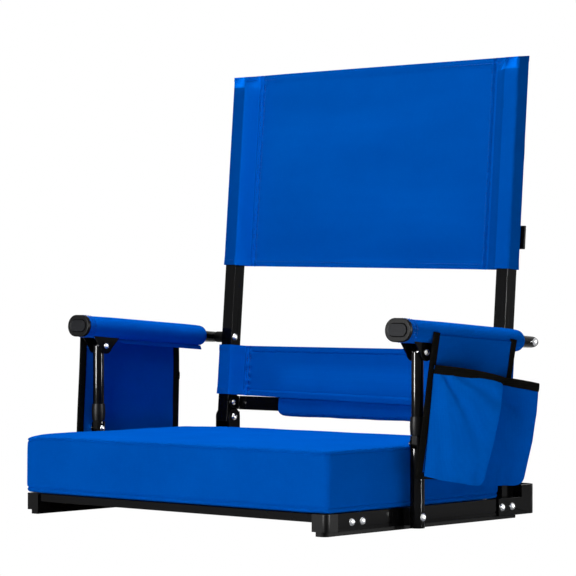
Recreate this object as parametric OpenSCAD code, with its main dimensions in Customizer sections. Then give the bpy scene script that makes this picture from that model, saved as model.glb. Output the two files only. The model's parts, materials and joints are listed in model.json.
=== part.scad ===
// Folding bleacher chair with padded armrests, side pockets and a sling back.
// Millimetres. The origin is on the floor below the middle of the chair's outer box.
// X is the width, Y points from front to back, Z points up.

/* [Seat base] */
// Half of the width over the side rails
rail_outer = 277.2; // [262:1:300]
// Length of the side rails, front caps included
rail_length = 396; // [390:1:410]
// Width of a side rail
rail_w = 25; // [22:1:30]
// Height of a side rail
rail_h = 22.5; // [20:0.5:26]
// Wall of a side rail
rail_wall = 1.8; // [1.2:0.1:2.5]
// Height of the foot strip under a rail
foot_h = 6; // [4:0.5:9]
// Width of the foot strip under a rail
foot_w = 16; // [10:1:18]
// Length of the visible front corner cap
cap_len = 22; // [15:1:26]
// Reach of the corner cap's plug inside the rail
plug_len = 56; // [54:1:70]
// Depth of the front and rear crossbars
crossbar_d = 24; // [18:1:26]
// Height of the front and rear crossbars
crossbar_h = 11; // [8:0.5:14]
// Thickness of the plywood seat board
board_t = 9; // [6:0.5:9.5]

/* [Cushion] */
// Thickness of the seat cushion at its edge
cushion_t = 80; // [60:1:81]
// Depth of the seat cushion
cushion_d = 350; // [330:1:352]
// How far the cushion rises in the middle
cushion_crown = 3; // [0:0.5:4]
// How far the cushion's sides draw in between the corners
cushion_draw = 3; // [0:0.5:6]
// Radius of the cushion's upright corners
cushion_corner_r = 8; // [6:1:25]

/* [Back] */
// Angle at which the back leans rearwards
recline = 4.7; // [3:0.1:6]
// Width of the square back post
post_w = 20; // [18:0.5:21]
// Wall of the back post
post_wall = 1.6; // [1:0.1:2.5]
// Half of the distance between the back posts' middles
post_x = 253.8; // [252:0.1:255]
// Height of the back's pivot above the floor
pivot_h = 121.5; // [121:0.5:130]
// Height of the sling panel's lower edge above the pivot, along the post
panel_low = 225; // [215:1:260]
// Height of the sling panel's upper edge above the pivot, along the post
panel_top = 510; // [470:1:540]
// Thickness of the sling cloth where it wraps a post
sleeve_wall = 2.5; // [1.5:0.1:2.8]
// Thickness of the sling cloth between the posts
sling_t = 2.4; // [1.5:0.1:3]
// Height of the lumbar strip's lower edge above the pivot
lumbar_low = 35; // [34:1:38]
// Height of the lumbar strip
lumbar_h = 71; // [60:1:72]

/* [Armrests] */
// Distance from the chair's middle to an armrest's middle
arm_x = 295; // [294:0.5:298]
// Slope of the armrest, rising to the front
arm_pitch = 4.03; // [3:0.1:4.2]
// Length of an armrest from its rear pivot to its front cap
arm_len = 273; // [265:1:290]
// Width of the armrest's pad
pad_w = 42; // [38:1:43]
// Height of the armrest's pad
pad_h = 30; // [29:0.5:31]
// Width of the armrest's flat oval bar
bar_w = 30; // [28:1:31]
// Height of the armrest's flat oval bar
bar_h = 15.5; // [14:0.5:16]
// Diameter of the upper arm post
arm_post_d = 16; // [15:0.5:17]
// Diameter of the lower arm post
stub_d = 19; // [18.5:0.1:20]
// Height of the arm post's lower pivot above the floor
knuckle_h = 111.5; // [110:0.1:114]
// Distance between the two pivots of an arm post
link_len = 118.1; // [116:0.5:124]
// Diameter of the bolts that the arms turn on
arm_bolt_d = 5; // [4:0.5:6]
// Diameter of the bolts that the back turns on
back_bolt_d = 6; // [5:0.5:6.5]

/* [Side bags] */
// Length of a side bag along the armrest
bag_len = 172; // [165:1:180]
// Height of a side bag below the armrest's middle line
bag_drop = 184; // [160:1:190]
// Angle at which a side bag hangs inwards
bag_hang = 2.5; // [0:0.5:2.5]
// Depth of a pocket's bulge
pocket_depth = 33; // [26:1:38]
// Wall of a pocket
pocket_wall = 1.5; // [1.2:0.1:2]

/* [Hidden] */
$fn = 48;

steel_black = [0.08, 0.085, 0.09];
plastic_black = [0.1, 0.1, 0.1];
plug_grey = [0.42, 0.42, 0.43];
zinc = [0.78, 0.78, 0.76];
cloth_blue = [0.01, 0.28, 0.7];
cloth_dark = [0.01, 0.2, 0.52];
ply = [0.72, 0.57, 0.38];

// Running clearance of a shaft in its hole, on the radius
run_gap = 0.05;
// Gap between soft pieces and what they lie against
soft_gap = 0.3;
// Gap between rigid pieces that slide past each other
slide_gap = 0.3;

// Base, measured from the front of the chair
rail_top = foot_h + rail_h;
rail_inner = rail_outer - rail_w;
foot_inset = (rail_w - foot_w) / 2 + 0.5;
groove_h = 2;
groove_d = 0.8;
groove_z = foot_h + 4;
ledge_w = 12;
ledge_t = 2;
ledge_z = rail_top - board_t - ledge_t;
cap_corner_r = 7;
front_bar_y = 3;
rear_bar_y = rail_length - crossbar_d - 1;
crossbar_z = rail_top - crossbar_h;
tube_wall = 1.6;
cap_foot_back = 3;
cap_play = 0.2;
board_gap = 0.4;
bar_play = 0.05;
cushion_inset = 1.2;
cushion_edge = 9;

// Seat board and its screws
board_half = rail_inner - board_gap;
board_front = front_bar_y + crossbar_d + board_gap;
board_rear = rear_bar_y - board_gap;
board_screw_d = 4;
board_screw_head = 8;
board_screw_head_h = 2;
board_screw_bite = 6;
board_screw_end = 1.5;
board_screw_x = rail_inner - ledge_w / 2 - 1;
board_screw_ys = [for (k = [1, 3, 5]) board_front + k * (board_rear - board_front) / 6];

// Rail bolts, with their places along the rail
rail_bolt_d = 6;
bolt_z = foot_h + rail_h / 2 - 0.5;
front_bolt_ys = [cap_len + 27, cap_len + 48];
rear_bolt_ys = [rail_length - 39, rail_length - 17];
rear_bolt_reach = 16;
head_d = 10.5;
head_h = 3.2;
nut_d = 10;
nut_h = 3.5;
bolt_tip = 1;
thread_gap = 0.04;
screw_scale = 0.85;
nut_end_gap = 2;
nut_room_w = 3;

// Rear corner plates
plate_t = 2.5;
plate_lap = 47;
plate_back = rail_length + 38;
plate_low = foot_h - 1;
plate_high = 45;
plate_bend_r = 14;
plate_return = 26;
plate_step = 5;

// Hinge brackets
ear_t = 3;
ear_r = 12;
ear_in = post_x - post_w / 2 - slide_gap;
ear_out = post_x + post_w / 2 + slide_gap;

// Back pivot: the bolt sits a little behind the post's middle line
pivot_offset = 2.4;
post_front_y = rail_length - 34.1;
post_mid_y = post_front_y + pivot_h * tan(recline) + post_w / 2 / cos(recline);
pivot_y = post_mid_y + pivot_offset;
post_end = post_w / 2 - pivot_offset;

// The link between the pivots has one length and one lean on the back and on the arm posts
armrest_t = sqrt(link_len * link_len - 4 * pivot_offset * pivot_offset);
link_lean = recline - asin(2 * pivot_offset / link_len);
arm_pivot_y = pivot_y + link_len * sin(link_lean);
arm_pivot_z = pivot_h + link_len * cos(link_lean);

// The arm post stands under the front of its armrest, a set distance behind the front cap
clevis_back = 46.17;
clevis_s = clevis_back - arm_len;
clevis_z = knuckle_h + link_len * cos(link_lean);
clevis_n = (clevis_z - arm_pivot_z + clevis_s * sin(arm_pitch)) / cos(arm_pitch);
clevis_y = arm_pivot_y + clevis_s * cos(arm_pitch) + clevis_n * sin(arm_pitch);
knuckle_y = clevis_y - link_len * sin(link_lean);
// The upright post stands a little behind its knuckle's pivot
post_share = 0.25;
arm_post_y = knuckle_y + post_share * (clevis_y - knuckle_y);

// The cushion ends a finger's width before the hinge brackets
cushion_clear = 10.9;
cushion_front = post_front_y - cushion_clear - cushion_d;

// Whole depth, from the front caps to the upper rear edge of the sling panel
depth = pivot_y + panel_top * sin(recline)
  + (post_w / 2 + soft_gap + sleeve_wall - pivot_offset) * cos(recline);

// Back pieces, measured from the post's middle line and along the post
plug_t = 2;
post_drop = 18;
post_plug_reach = 12;
plug_play = 0.1;
post_top = panel_top - post_drop;
bar_low = 11.5;
bar_bolt_t = bar_low + post_w / 2;
tab_t = 3;
tab_w = 17;
grip_half = 160;
grip_pad = 3;
grip_low = 4;
grip_high = lumbar_low - 1.5;
grip_bevel = 9;
hem_reach = 20;
lumbar_hem = 50;
hem_t = 1;
sling_y = post_w / 2 + soft_gap + sleeve_wall - sling_t / 2;
strap_w = 25;
strap_t = 2;
strap_x = 246;
strap_low = panel_low + 8;
strap_high = panel_top - 40;
strap_bow = 7;
strap_flat_up = 65;
strap_flat = panel_low + strap_flat_up;
slider_t = 3;
slider_w = 36;
slider_h = 32;
slider_x = strap_x + 6;
slider_low = panel_low + 21;
slider_rim = 5;
slider_slit_h = 9;
slider_bar = 4;
strap_slit = 0.4;

// Armrest pieces, in a frame at the rear pivot that follows the armrest's slope
spacer_r = 8;
pad_rear = 24;
pad_taper = 8;
pad_round = 4;
cap_lip = 1;
cap_t = 6;
bar_wall = 1.5;
arm_plug_out = 0.8;
plug_reach = 12;
clevis_t = 2;
clevis_gap = 2.8;
clevis_top_w = 50;
clevis_r = 11.5;
clevis_lip = 6;
clevis_waist = 3.5;
clevis_cheek = 0.95 * clevis_r;
clevis_in = arm_post_d / 2 + clevis_gap;
clevis_out = clevis_in + clevis_t;
open_pivot_gap = 0.3;

// Lower arm post and knuckle
stub_wall = 1.5;
stub_low = 3;
stub_bolt_z = 17.4;
stub_top = 10;
spacer_w = 14;
spacer_h = 22;
collar_low = 11;
collar_h = 24;
collar_r = 9.8;
collar_end_r = 9;
tongue_w = 9;
tongue_r = 5;
slot_gap = 0.8;
stub_clear_r = collar_low - 0.4;
arm_post_in = 3;

// Side bags
panel_t = 2;
bag_set_back = 50;
front_pocket_l = 108;
bag_front = -arm_len + bag_set_back;
bag_x = pad_w / 2 + soft_gap;
bag_top = -2;
pocket_split = bag_front + front_pocket_l;
front_rim = -48;
rear_rim = -55;
pocket_low = -192;
pocket_skew = 0.45;
pocket_inset = 4;
pocket_pinch = 0.3;
pocket_tuck = 7;
rear_overhang = 9;
pocket_sides = 28;
pocket_rings = 8;

// Skin through rings of points: each ring is a closed loop with the same number of points
module loft(rings) {
  n = len(rings[0]);
  m = len(rings);
  points = [for (r = rings) each r];
  low_mid = len(points);
  high_mid = low_mid + 1;
  function mean(r) = [for (k = [0:2]) (min([for (p = r) p[k]]) + max([for (p = r) p[k]])) / 2];
  sides = [for (j = [0:m - 2]) for (i = [0:n - 1])
    each [[j * n + i, (j + 1) * n + i, (j + 1) * n + (i + 1) % n],
          [j * n + i, (j + 1) * n + (i + 1) % n, j * n + (i + 1) % n]]];
  ends = [for (i = [0:n - 1])
    each [[low_mid, i, (i + 1) % n], [high_mid, (m - 1) * n + (i + 1) % n, (m - 1) * n + i]]];
  polyhedron(concat(points, [mean(rings[0]), mean(rings[m - 1])]), concat(sides, ends));
}

// Flat oval, drawn on X and Y
module oval(w, h) {
  for (side = [-1, 1]) translate([side * (w - h) / 2, 0]) circle(d = h);
  square([w - h, h], center = true);
}

// Flat oval bar along the armrest, from y0 to y1
module oval_bar(w, h, y0, y1) {
  translate([0, y1, 0]) rotate([90, 0, 0]) linear_extrude(y1 - y0) oval(w, h);
}

// Round rod along X
module rod_x(d, x0, x1) {
  translate([x0, 0, 0]) rotate([0, 90, 0]) cylinder(d = d, h = x1 - x0);
}

// Domed bolt head along +X, standing on x = 0
module bolt_head() {
  rotate([0, 90, 0]) rotate_extrude() intersection() {
    translate([0, -(head_d * head_d / 4 - head_h * head_h) / (2 * head_h)])
      circle(r = (head_d * head_d / 4 + head_h * head_h) / (2 * head_h), $fn = 96);
    square([head_d / 2, head_h]);
  }
}

// Six-sided nut along +X, standing on x = 0
module nut(bore_d) {
  rotate([0, 90, 0]) difference() {
    cylinder(d = nut_d, h = nut_h, $fn = 6);
    translate([0, 0, -1]) cylinder(d = bore_d, h = nut_h + 2);
  }
}

// Places: the base, the back and an armrest
module base_at() {
  translate([0, -depth / 2, 0]) children();
}

module back_at() {
  translate([0, pivot_y - depth / 2, pivot_h]) rotate([-recline, 0, 0])
    translate([0, -pivot_offset, 0]) children();
}

module side_at(side) {
  mirror([side < 0 ? 1 : 0, 0, 0]) children();
}

module arm_at(side) {
  side_at(side) translate([arm_x, arm_pivot_y - depth / 2, arm_pivot_z])
    rotate([-arm_pitch, 0, 0]) children();
}

module knuckle_at(side) {
  side_at(side) translate([arm_x, knuckle_y - depth / 2, knuckle_h]) children();
}

// Seat base

module rail(side) {
  color(steel_black) side_at(side) base_at() difference() {
    union() {
      translate([rail_inner, cap_len, foot_h]) cube([rail_w, rail_length - cap_len, rail_h]);
      translate([rail_inner - ledge_w, front_bar_y + crossbar_d, ledge_z])
        cube([ledge_w + rail_wall, rear_bar_y - front_bar_y - crossbar_d, ledge_t]);
    }
    translate([rail_inner + rail_wall, cap_len - 1, foot_h + rail_wall])
      cube([rail_w - 2 * rail_wall, rail_length - cap_len + 2, rail_h - 2 * rail_wall]);
    translate([rail_outer - groove_d, cap_len - 1, groove_z])
      cube([groove_d + 1, rail_length - cap_len - plate_lap, groove_h]);
    for (y = front_bolt_ys)
      translate([0, y, bolt_z]) rod_x(rail_bolt_d + 2 * run_gap, rail_inner - 1, rail_outer + 1);
    for (y = rear_bolt_ys) translate([0, y, bolt_z])
      rod_x(rail_bolt_d + 2 * run_gap, rail_outer - rear_bolt_reach, rail_outer + 1);
    translate([0, arm_post_y, stub_bolt_z])
      rod_x(arm_bolt_d + 2 * run_gap, rail_inner - 1, rail_outer + 1);
    for (y = board_screw_ys)
      translate([board_screw_x, y, ledge_z - 1])
        cylinder(d = board_screw_d + 2 * run_gap, h = ledge_t + 2);
    nut_room();
  }
}

// Room for the nuts on a rail's inner face, and for the ends of their bolts
module nut_room() {
  for (p = concat([for (y = front_bolt_ys) [y, bolt_z]], [[arm_post_y, stub_bolt_z]]))
    translate([0, p[0], p[1]])
      rod_x(nut_d + nut_room_w, rail_inner - nut_h - nut_end_gap, rail_inner);
}

module foot_strip(side) {
  color(plastic_black) side_at(side) base_at()
    translate([rail_outer - foot_inset - foot_w, cap_len, 0])
    cube([foot_w, rail_length - cap_len, foot_h]);
}

module corner_cap(side) {
  inner = rail_wall + cap_play;
  color(plastic_black) side_at(side) base_at() difference() {
    union() {
      translate([rail_inner, 0, foot_h]) linear_extrude(rail_h) cap_plan(rail_w, cap_len);
      translate([rail_outer - foot_inset - foot_w, cap_foot_back, 0]) linear_extrude(foot_h)
        cap_plan(foot_w, cap_len - cap_foot_back);
      translate([rail_inner + inner, cap_len, foot_h + inner])
        cube([rail_w - 2 * inner, plug_len, rail_h - 2 * inner]);
    }
    for (y = front_bolt_ys)
      translate([0, y, bolt_z]) rod_x(rail_bolt_d + 2 * run_gap, rail_inner - 1, rail_outer + 1);
  }
}

// Plan of a corner cap: a rectangle with its outer front corner rounded
module cap_plan(w, l) {
  translate([0, cap_corner_r]) square([w, l - cap_corner_r]);
  square([w - cap_corner_r, cap_corner_r + 1]);
  translate([w - cap_corner_r, cap_corner_r]) circle(r = cap_corner_r);
}

module crossbar(y) {
  reach = rail_inner - bar_play;
  color(steel_black) base_at() difference() {
    translate([-reach, y, crossbar_z]) cube([2 * reach, crossbar_d, crossbar_h]);
    translate([-reach - 1, y + tube_wall, crossbar_z + tube_wall])
      cube([2 * reach + 2, crossbar_d - 2 * tube_wall, crossbar_h - 2 * tube_wall]);
  }
}

module rear_corner(side) {
  straight = plate_back - plate_bend_r;
  color(steel_black) side_at(side) base_at() difference() {
    translate([0, 0, plate_low]) linear_extrude(plate_high - plate_low) {
      translate([rail_outer, rail_length - plate_lap])
        square([plate_t, straight - rail_length + plate_lap]);
      translate([rail_outer + plate_t - plate_bend_r, straight]) intersection() {
        difference() {
          circle(r = plate_bend_r);
          circle(r = plate_bend_r - plate_t);
        }
        square(plate_bend_r);
      }
      translate([rail_outer + plate_t - plate_bend_r - plate_return, plate_back - plate_t])
        square([plate_return, plate_t]);
    }
    translate([rail_outer - 1, rail_length - plate_lap - 1, rail_top])
      cube([plate_t + 2, plate_lap + plate_step, plate_high]);
    for (y = rear_bolt_ys)
      translate([0, y, bolt_z]) rod_x(rail_bolt_d + 2 * run_gap, rail_outer - 1, rail_outer + plate_t + 1);
  }
}

// Channel that stands on the rail and the rear crossbar and holds the foot of a back post
module hinge_bracket(side) {
  web_y = post_end / cos(recline) + post_end * tan(recline) + slide_gap;
  rise = pivot_h - rail_top;
  color(steel_black) side_at(side) base_at() translate([0, pivot_y, pivot_h]) difference() {
    union() {
      for (x = [ear_in - ear_t, ear_out]) {
        rod_x(2 * ear_r, x, x + ear_t);
        translate([x, -ear_r, -rise]) cube([ear_t, 2 * ear_r, rise]);
      }
      translate([ear_in - ear_t, web_y, -rise])
        cube([ear_out - ear_in + 2 * ear_t, ear_t, rise + post_end]);
      translate([ear_in - ear_t, -ear_r, -rise])
        cube([ear_out - ear_in + 2 * ear_t, 2 * ear_r, ear_t]);
    }
    rod_x(back_bolt_d + 2 * run_gap, ear_in - ear_t - 1, ear_out + ear_t + 1);
  }
}

module seat_board() {
  color(ply) base_at() difference() {
    translate([-board_half, board_front, rail_top - board_t])
      cube([2 * board_half, board_rear - board_front, board_t]);
    for (side = [-1, 1], y = board_screw_ys)
      translate([side * board_screw_x, y, rail_top - board_t - 1])
        cylinder(d = board_screw_d + 2 * run_gap, h = 1 + board_screw_bite + board_screw_end);
    for (side = [-1, 1]) side_at(side) nut_room();
  }
}

module board_screws() {
  color(zinc) base_at() for (side = [-1, 1], y = board_screw_ys)
    translate([side * board_screw_x, y, ledge_z]) {
      cylinder(d = board_screw_d, h = ledge_t + board_screw_bite);
      translate([0, 0, -board_screw_head_h]) cylinder(d = board_screw_head, h = board_screw_head_h);
    }
}

// Cushion outline at one height: a rectangle with round corners and drawn-in sides
function cushion_ring(hw, hd, r, z, draw) = [
  for (c = [0:3]) each concat(
    [for (k = [0:4]) let(a = 90 * c + 22.5 * k, sx = [1, -1, -1, 1][c], sy = [1, 1, -1, -1][c])
      [sx * (hw - r) + r * cos(a), sy * (hd - r) + r * sin(a), z]],
    [for (k = [1:6]) let(u = 1 - 2 * k / 7, in = draw * (1 - u * u))
      c == 0 ? [u * (hw - r), hd - in, z] :
      c == 1 ? [-hw + in, u * (hd - r), z] :
      c == 2 ? [-u * (hw - r), -hd + in, z] :
      [hw - in, -u * (hd - r), z]])
];

module seat_cushion() {
  hw = rail_outer - cushion_inset;
  hd = cushion_d / 2;
  edge = cushion_edge;
  t = cushion_t - soft_gap;
  // Inset from the side and height of each ring up the side
  sides = [[12, 0], [3, 1.5], [0, 8], [0.5, t * 0.35], [1, t * 0.65], [0.5, t - edge],
    [1.5, t - edge / 2.6], [5, t - 1], [edge + 2, t]];
  crown = [for (f = [0.85, 0.6, 0.35, 0.12]) f];
  color(cloth_blue) base_at() translate([0, cushion_d / 2 + cushion_front, rail_top + soft_gap])
    loft(concat(
      [for (s = sides)
        cushion_ring(hw - s[0], hd - s[0], max(4, cushion_corner_r - s[0] / 2), s[1], cushion_draw)],
      [for (f = crown) [for (p = cushion_ring((hw - edge) * f, (hd - edge) * f,
          cushion_corner_r * f, 0, 0)) [p[0], p[1], t + cushion_crown * (1 - f * f)]]]
    ));
}

// Lower arm post: a tube with a fork at its top for the knuckle's tongue
module arm_stub(side) {
  shift = arm_post_y - knuckle_y;
  color(steel_black) knuckle_at(side) difference() {
    translate([0, shift, stub_low - knuckle_h])
      cylinder(d = stub_d, h = knuckle_h - stub_low + stub_top);
    translate([0, shift, stub_low - knuckle_h - 1])
      cylinder(d = stub_d - 2 * stub_wall, h = knuckle_h + 2 * stub_top);
    translate([-tongue_w / 2 - slot_gap, -stub_d, -tongue_r - slot_gap])
      cube([tongue_w + 2 * slot_gap, stub_d, stub_top + tongue_r + 2]);
    difference() {
      translate([-stub_d, -stub_d, 0]) cube([2 * stub_d, stub_d, stub_top + 1]);
      rod_x(2 * stub_clear_r, -stub_d, stub_d);
    }
    rod_x(arm_bolt_d + 2 * run_gap, -stub_d, stub_d);
    translate([0, shift, stub_bolt_z - knuckle_h])
      rod_x(arm_bolt_d + 2 * run_gap, -stub_d, stub_d);
  }
}

module stub_spacers() {
  color(plastic_black) for (side = [-1, 1]) side_at(side) base_at() difference() {
    translate([rail_outer, arm_post_y - spacer_w / 2, foot_h])
      cube([arm_x - rail_outer, spacer_w, spacer_h]);
    translate([arm_x, arm_post_y, 0]) cylinder(d = stub_d, h = rail_top + spacer_h);
    translate([0, arm_post_y, stub_bolt_z])
      rod_x(arm_bolt_d + 2 * run_gap, rail_outer - 1, arm_x);
  }
}

module frame_bolts() {
  color(zinc) for (side = [-1, 1]) side_at(side) base_at() {
    for (y = front_bolt_ys) translate([0, y, bolt_z]) {
      rod_x(rail_bolt_d, rail_inner - nut_h - bolt_tip, rail_outer);
      translate([rail_outer, 0, 0]) bolt_head();
    }
    for (y = rear_bolt_ys) translate([0, y, bolt_z]) {
      rod_x(rail_bolt_d, rail_outer - rear_bolt_reach, rail_outer + plate_t);
      translate([rail_outer + plate_t, 0, 0]) bolt_head();
    }
    translate([0, arm_post_y, stub_bolt_z]) {
      rod_x(arm_bolt_d, rail_inner - nut_h - bolt_tip, arm_x + stub_d / 2);
      translate([arm_x + stub_d / 2, 0, 0]) bolt_head();
    }
  }
}

module frame_nuts() {
  color(zinc) for (side = [-1, 1]) side_at(side) base_at() {
    for (y = front_bolt_ys) translate([rail_inner - nut_h, y, bolt_z]) nut(rail_bolt_d + 2 * thread_gap);
    translate([rail_inner - nut_h, arm_post_y, stub_bolt_z]) nut(arm_bolt_d + 2 * thread_gap);
  }
}

module back_pivot_bolts() {
  color(zinc) for (side = [-1, 1]) side_at(side) base_at() translate([0, pivot_y, pivot_h]) {
    rod_x(back_bolt_d, ear_in - ear_t, ear_out + ear_t + nut_h + bolt_tip);
    translate([ear_in - ear_t, 0, 0]) mirror([1, 0, 0]) bolt_head();
    translate([ear_out + ear_t, 0, 0]) nut(back_bolt_d + 2 * thread_gap);
  }
}

module knuckle_screws() {
  reach = stub_d / 2;
  color(zinc) for (side = [-1, 1]) knuckle_at(side) {
    rod_x(arm_bolt_d, -reach, reach);
    for (end = [0, 1]) mirror([end, 0, 0]) translate([reach, 0, 0]) scale(screw_scale) bolt_head();
  }
}

// Back

module back_post(side) {
  h = post_w / 2;
  color(steel_black) side_at(side) back_at() translate([post_x, 0, 0]) difference() {
    translate([-h, -h, -post_end]) cube([post_w, post_w, post_top + post_end]);
    translate([-h + post_wall, -h + post_wall, -post_end - 1])
      cube([post_w - 2 * post_wall, post_w - 2 * post_wall, post_top + post_end + 2]);
    difference() {
      translate([-h - 1, pivot_offset, -post_end - 1]) cube([post_w + 2, post_w, post_end + 1]);
      translate([0, pivot_offset, 0]) rod_x(2 * post_end, -post_w, post_w);
    }
    translate([0, pivot_offset, 0]) rod_x(back_bolt_d + 2 * run_gap, -post_w, post_w);
    translate([0, -pivot_offset, armrest_t]) rod_x(back_bolt_d + 2 * run_gap, -post_w, post_w);
    translate([0, 0, bar_bolt_t]) rod_x(arm_bolt_d + 2 * run_gap, -post_w, post_w);
  }
}

module post_plugs() {
  h = post_w / 2 - post_wall - plug_play;
  color(plastic_black) for (side = [-1, 1]) side_at(side) back_at() translate([post_x, 0, post_top]) {
    translate([-post_w / 2, -post_w / 2, 0]) cube([post_w, post_w, plug_t]);
    translate([-h, -h, -post_plug_reach]) cube([2 * h, 2 * h, post_plug_reach]);
  }
}

// Cloth that wraps both posts and spans between them, from t0 to t1 up the post
module sling(t0, t1, hem) {
  out = post_w / 2 + soft_gap + sleeve_wall;
  inn = post_w / 2 + soft_gap;
  for (side = [-1, 1]) side_at(side) translate([post_x, 0, t0]) difference() {
    translate([-out, -out, 0]) cube([2 * out, 2 * out, t1 - t0]);
    translate([-inn, -inn, -1]) cube([2 * inn, 2 * inn, t1 - t0 + 2]);
  }
  span = post_x - inn;
  translate([-span, sling_y - sling_t / 2, t0]) cube([2 * span, sling_t, t1 - t0]);
  for (side = [-1, 1]) side_at(side)
    translate([span - hem, sling_y - sling_t / 2 - hem_t, t0]) cube([hem, sling_t + hem_t, t1 - t0]);
}

module back_panel() {
  color(cloth_blue) back_at() sling(panel_low, panel_top, hem_reach);
}

module lumbar_strip() {
  color(cloth_blue) back_at() difference() {
    sling(lumbar_low, lumbar_low + lumbar_h, lumbar_hem);
    for (side = [-1, 1]) side_at(side) translate([0, -pivot_offset, armrest_t])
      rod_x(2 * (spacer_r + soft_gap), post_x - post_w, arm_x);
  }
}

// Square tube behind the posts, with a tab at each end that is bolted to the post's inner face
module back_crossbar() {
  reach = post_x + post_w / 2;
  face = post_x - post_w / 2;
  color(steel_black) back_at() difference() {
    union() {
      translate([-reach, post_w / 2, bar_low]) cube([2 * reach, post_w, post_w]);
      for (side = [-1, 1]) side_at(side) translate([face - tab_t, 0, bar_bolt_t]) {
        rod_x(tab_w, 0, tab_t);
        translate([0, 0, -tab_w / 2]) cube([tab_t, post_w / 2 + 1, tab_w]);
      }
    }
    translate([-reach - 1, post_w / 2 + post_wall, bar_low + post_wall])
      cube([2 * reach + 2, post_w - 2 * post_wall, post_w - 2 * post_wall]);
    translate([0, 0, bar_bolt_t]) rod_x(arm_bolt_d + 2 * run_gap, -reach, reach);
  }
}

module crossbar_bolts() {
  color(zinc) for (side = [-1, 1]) side_at(side) back_at() translate([post_x, 0, bar_bolt_t]) {
    rod_x(arm_bolt_d, -post_w / 2 - tab_t, post_w / 2 + nut_h + bolt_tip);
    translate([-post_w / 2 - tab_t, 0, 0]) mirror([1, 0, 0]) scale(screw_scale) bolt_head();
    translate([post_w / 2, 0, 0]) nut(arm_bolt_d + 2 * thread_gap);
  }
}

module grip_sleeve() {
  y0 = post_w / 2 - grip_pad;
  d = post_w + 2 * grip_pad;
  color(cloth_blue) back_at() difference() {
    translate([-grip_half, y0, grip_low]) cube([2 * grip_half, d, grip_high - grip_low]);
    translate([-grip_half - 1, post_w / 2 - soft_gap, bar_low - soft_gap])
      cube([2 * grip_half + 2, post_w + 2 * soft_gap, post_w + 2 * soft_gap]);
    for (side = [-1, 1]) translate([side * grip_half, y0 - 1, grip_low]) rotate([0, 45, 0])
      translate([-grip_bevel / 2, 0, -grip_bevel / 2]) cube([grip_bevel, d + 2, grip_bevel]);
  }
}

// Distance of the webbing behind the post's middle line: flat at the adjuster, bowed above it
function strap_y(t) = post_w / 2 + sleeve_wall + 2 * soft_gap
  + (t < strap_flat ? 0 : strap_bow * pow(sin(180 * (t - strap_flat) / (strap_high - strap_flat)), 2));

// Webbing loop behind the sling panel, sewn to the sleeve at both ends
module carry_strap(side) {
  steps = [for (k = [0:24]) strap_low + (strap_high - strap_low) * k / 24];
  color(plastic_black) side_at(side) back_at()
    translate([strap_x + strap_w / 2, 0, 0]) rotate([0, -90, 0]) linear_extrude(strap_w)
    polygon(concat([for (t = steps) [t, strap_y(t)]],
      [for (k = [24:-1:0]) [steps[k], strap_y(steps[k]) + strap_t]]));
}

// Ladder-shaped adjuster that lies on the webbing
module strap_sliders() {
  from = slider_x - slider_w / 2;
  slit_x = strap_x - strap_w / 2 - strap_slit;
  color(plastic_black) for (side = [-1, 1]) side_at(side) back_at()
    translate([0, strap_y(strap_low) + strap_t + soft_gap, slider_low]) difference() {
      translate([from, 0, 0]) cube([slider_w, slider_t, slider_h]);
      for (k = [0, 1]) translate([slit_x, -1, slider_rim + k * (slider_slit_h + slider_bar)])
        cube([strap_w + 2 * strap_slit, slider_t + 2, slider_slit_h]);
    }
}

module armrest_bolts() {
  inner = post_x - post_w / 2;
  outer = arm_x + bar_w / 2;
  color(zinc) for (side = [-1, 1]) side_at(side)
    translate([0, arm_pivot_y - depth / 2, arm_pivot_z]) {
      rod_x(back_bolt_d, inner, outer);
      translate([outer, 0, 0]) bolt_head();
      translate([inner, 0, 0]) mirror([1, 0, 0]) bolt_head();
    }
}

module armrest_spacers() {
  from = post_x + post_w / 2;
  color(zinc) for (side = [-1, 1]) side_at(side)
    translate([0, arm_pivot_y - depth / 2, arm_pivot_z]) difference() {
      rod_x(2 * spacer_r, from, arm_x - bar_w / 2 - slide_gap);
      rod_x(back_bolt_d + 2 * run_gap, from - 1, arm_x);
    }
}

// Armrests

module arm_bar(side) {
  color(steel_black) arm_at(side) difference() {
    intersection() {
      oval_bar(bar_w, bar_h, -arm_len + cap_t, bar_h);
      union() {
        translate([-bar_w, -arm_len, -bar_h]) cube([2 * bar_w, arm_len, 2 * bar_h]);
        rod_x(bar_h, -bar_w, bar_w);
      }
    }
    oval_bar(bar_w - 2 * bar_wall, bar_h - 2 * bar_wall, -arm_len, bar_h + 1);
    rod_x(back_bolt_d + 2 * run_gap, -bar_w, bar_w);
  }
}

// Foam sleeve with a round rear end and a slot below for the clevis
module arm_pad(side) {
  slot_w = 2 * (clevis_out + soft_gap);
  slot_l = clevis_top_w + 2 * soft_gap;
  color(cloth_blue) arm_at(side) difference() {
    union() {
      oval_bar(pad_w, pad_h, -arm_len + cap_t, -pad_rear - pad_taper);
      oval_bar(pad_w - pad_round, pad_h - pad_round, -pad_rear - pad_taper - 1, -pad_rear);
    }
    oval_bar(bar_w + 2 * soft_gap, bar_h + 2 * soft_gap, -arm_len, 1);
    translate([-slot_w / 2, clevis_s - slot_l / 2, -pad_h]) cube([slot_w, slot_l, pad_h]);
  }
}

module arm_cap(side) {
  color(plastic_black) arm_at(side) difference() {
    oval_bar(pad_w + cap_lip, pad_h + cap_lip, -arm_len, -arm_len + cap_t);
    oval_bar(bar_w, bar_h, -arm_len - 1, -arm_len + cap_t + 1);
  }
}

module arm_plug(side) {
  inner = 2 * (bar_wall + plug_play);
  color(plug_grey) arm_at(side) {
    oval_bar(bar_w, bar_h, -arm_len - arm_plug_out, -arm_len + cap_t);
    oval_bar(bar_w - inner, bar_h - inner, -arm_len + cap_t, -arm_len + cap_t + plug_reach);
  }
}

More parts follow.
